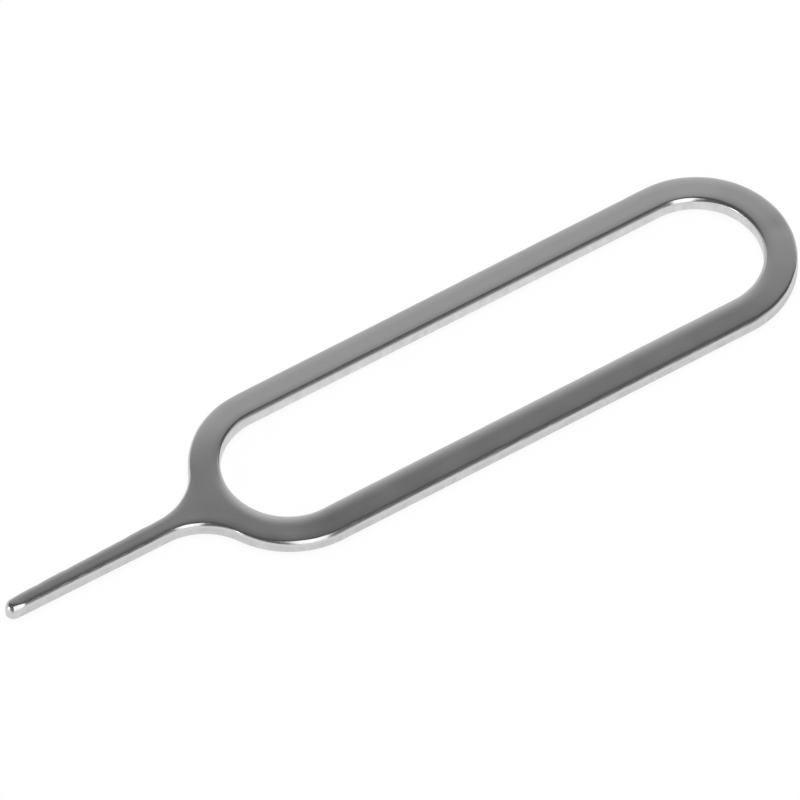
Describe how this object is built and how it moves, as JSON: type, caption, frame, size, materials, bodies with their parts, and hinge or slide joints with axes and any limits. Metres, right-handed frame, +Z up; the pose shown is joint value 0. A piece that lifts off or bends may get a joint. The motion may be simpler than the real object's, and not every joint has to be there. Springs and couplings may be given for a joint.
{
  "type": "sim tray eject tool",
  "caption": "Flat steel eject tool: a long rounded ring handle that narrows through a filleted neck to a tapered pin with a round tip, for pushing a SIM tray out of a phone.",
  "frame": {"origin": "on the plane that the tool lies on, under the middle of its length and width", "axes": "+X along the tool from the pin's tip to the ring's round end, +Z up out of the sheet's face with the rolled edges"},
  "size_m": [0.0456, 0.01, 0.0008],
  "materials": {
    "polished_steel": "blanked from stainless sheet and tumble-polished, satin face with bright rounded edges"
  },
  "bodies": {
    "root": {"eject_tool": "polished_steel"}
  },
  "joints": []
}
